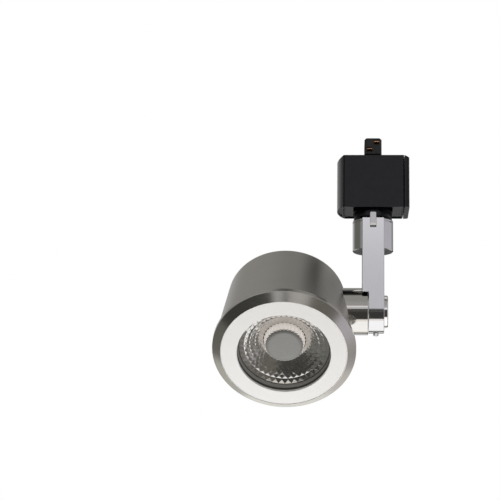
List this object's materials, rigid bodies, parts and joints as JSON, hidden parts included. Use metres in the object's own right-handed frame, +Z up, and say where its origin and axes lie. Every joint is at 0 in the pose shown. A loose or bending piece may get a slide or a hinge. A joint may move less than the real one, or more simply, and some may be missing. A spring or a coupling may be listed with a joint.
{
  "type": "track spotlight",
  "caption": "Round brushed-metal spotlight head on a side arm, with a white trim ring and recessed lens, that pans and tilts below a single-circuit track adapter.",
  "frame": {"origin": "centre of the adapter's top face, which seats on the underside of the track; it lies on the pan axis", "axes": "+Z up out of the adapter into the track; X along the track; the head aims towards -Y, 45 degrees below horizontal, at rest"},
  "size_m": [0.1227, 0.0972, 0.1726],
  "materials": {
    "adapter_plastic": "smooth black moulding",
    "plug_plastic": "fine matt black moulding",
    "contact_copper": "spring copper strip",
    "zinc_steel": "zinc-plated steel",
    "arm_nickel": "satin nickel plate",
    "bright_nickel": "polished nickel plate",
    "brushed_nickel": "brushed nickel plate",
    "trim_white": "satin white moulding",
    "lens_clear": "clear moulded optic with a frosted centre",
    "black_rubber": "black rubber",
    "inner_plastic": "matt black",
    "winding_tape": "yellow tape",
    "circuit_board": "green solder mask",
    "sink_aluminium": "bare aluminium",
    "phosphor": "yellow phosphor gel",
    "thermal_grey": "soft grey pad"
  },
  "bodies": {
    "adapter": {"adapter_housing": "adapter_plastic", "adapter_end_cap": "adapter_plastic", "adapter_lid": "adapter_plastic", "lid_screws": "zinc_steel", "contact_plug": "plug_plastic", "line_contact": "contact_copper", "neutral_contact": "contact_copper", "ground_contact": "contact_copper", "lock_spring": "zinc_steel", "neck_bushing": "adapter_plastic", "swivel_nipple": "zinc_steel", "nipple_lock_nut": "zinc_steel", "swivel_washer": "zinc_steel", "swivel_nut": "zinc_steel"},
    "lock": {"lock_slide": "adapter_plastic"},
    "arm": {"collar_ring": "arm_nickel", "swivel_collar": "arm_nickel", "pan_stop_tab": "arm_nickel", "arm": "arm_nickel", "tilt_stop_pin": "zinc_steel", "tilt_set_screw": "bright_nickel", "pivot_cap": "bright_nickel"},
    "head": {"tilt_axle": "zinc_steel", "tilt_washer": "zinc_steel", "tilt_nut": "zinc_steel", "head_barrel": "brushed_nickel", "pivot_hub": "brushed_nickel", "hub_screws": "zinc_steel", "rear_cover": "brushed_nickel", "cover_screws": "zinc_steel", "driver_tray": "inner_plastic", "driver_board": "circuit_board", "transformer_core": "inner_plastic", "transformer_winding": "winding_tape", "bulk_capacitor": "inner_plastic", "film_capacitor": "inner_plastic", "filter_choke": "inner_plastic", "heat_sink": "sink_aluminium", "heat_sink_screws": "zinc_steel", "thermal_pad": "thermal_grey", "led_board": "sink_aluminium", "led_emitter": "phosphor", "led_holder": "inner_plastic", "holder_screws": "zinc_steel", "lens": "lens_clear", "lens_holder": "inner_plastic", "trim_ring": "trim_white", "bezel": "brushed_nickel", "bezel_gasket": "black_rubber"}
  },
  "joints": [
    {"name": "lock_slide_pull", "type": "slide", "parent": "adapter", "child": "lock", "axis": [0, 0, -1], "range_m": [0, 0.003], "stiffness_N_per_m": 600, "springref_m": -0.002, "deforming": ["lock_spring"]},
    {"name": "pan", "type": "hinge", "parent": "adapter", "child": "arm", "pos_m": [0, 0, 0], "axis": [0, 0, 1], "range_deg": [-165, 165]},
    {"name": "tilt", "type": "hinge", "parent": "arm", "child": "head", "pos_m": [0, 0, -0.0985], "axis": [1, 0, 0], "range_deg": [-45, 45]}
  ]
}
